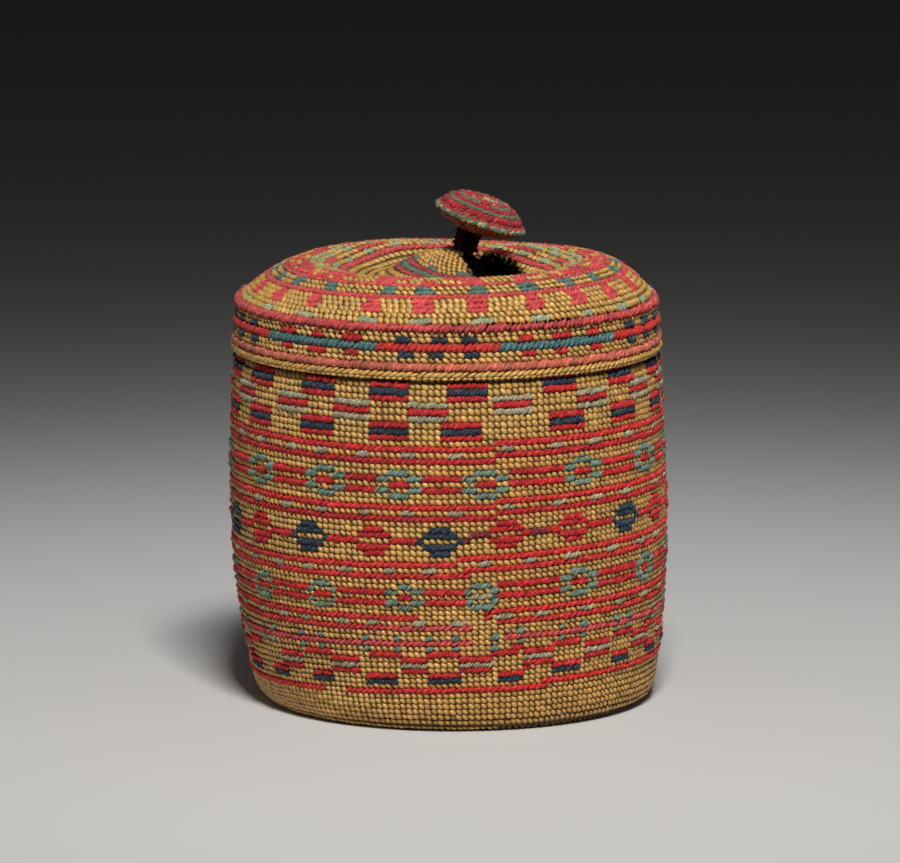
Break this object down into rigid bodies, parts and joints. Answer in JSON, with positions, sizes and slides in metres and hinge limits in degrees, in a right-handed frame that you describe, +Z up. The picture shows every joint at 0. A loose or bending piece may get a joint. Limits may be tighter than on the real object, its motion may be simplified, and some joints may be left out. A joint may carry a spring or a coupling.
{
  "type": "lidded basket",
  "caption": "Twined grass basket with a gently bellied pot, coloured yarn courses, and a slumped round lid that lifts off by a tilted, domed knob on a wrapped stem.",
  "frame": {"origin": "middle of the flat underside of the woven base, on the surface that the basket stands on", "axes": "+Z up along the way the lid lifts; the pictured front faces -Y, so +X is to its right"},
  "size_m": [0.1323, 0.132, 0.1538],
  "materials": {
    "grass": "split beach grass, dry straw with a soft silky sheen, uneven tan",
    "braid": "two twisted golden grass strands",
    "scarlet": "fuzzy scarlet wool yarn",
    "crimson": "fuzzy crimson wool yarn",
    "rose": "faded rose wool yarn",
    "salmon": "faded salmon wool yarn",
    "teal": "teal wool yarn",
    "sage": "greyish sage wool yarn",
    "knob_red": "deep red wool yarn",
    "stem": "very dark maroon wrapped yarn"
  },
  "bodies": {
    "basket": {"basket_base": "grass", "basket_wall": "grass", "rim_braid": "braid", "yarn_course_11": "scarlet", "yarn_course_13": "crimson", "yarn_course_21": "scarlet", "yarn_course_23": "crimson", "yarn_course_31": "scarlet", "yarn_course_33": "scarlet", "yarn_course_41": "crimson", "yarn_course_43": "rose", "yarn_course_46": "rose", "yarn_course_55": "scarlet"},
    "lid": {"crest_ring_sage": "sage", "knob_button": "knob_red", "knob_disc": "grass", "knob_edge_course": "sage", "knob_red_band": "knob_red", "knob_red_line": "knob_red", "knob_sage_line": "sage", "knob_sage_ring": "sage", "knob_stem": "stem", "lid_edge_braid": "braid", "lid_skirt": "grass", "lid_top": "grass", "pit_ring_red": "scarlet", "shoulder_cord_rose": "rose", "skirt_cord_salmon": "salmon", "skirt_cord_scarlet_1": "scarlet", "skirt_cord_scarlet_2": "scarlet", "skirt_cord_scarlet_3": "scarlet", "skirt_cord_scarlet_4": "scarlet", "skirt_cord_scarlet_5": "scarlet", "skirt_cord_teal_1": "teal", "skirt_cord_teal_2": "teal", "skirt_cord_teal_3": "teal", "skirt_cord_teal_4": "teal", "skirt_cord_teal_5": "teal", "stem_wrapping": "stem", "top_ring_fine": "rose", "top_ring_rose": "rose"}
  },
  "joints": [
    {"name": "lid_lift", "type": "slide", "parent": "basket", "child": "lid", "axis": [0, 0, 1], "range_m": [0, 0.06]}
  ]
}
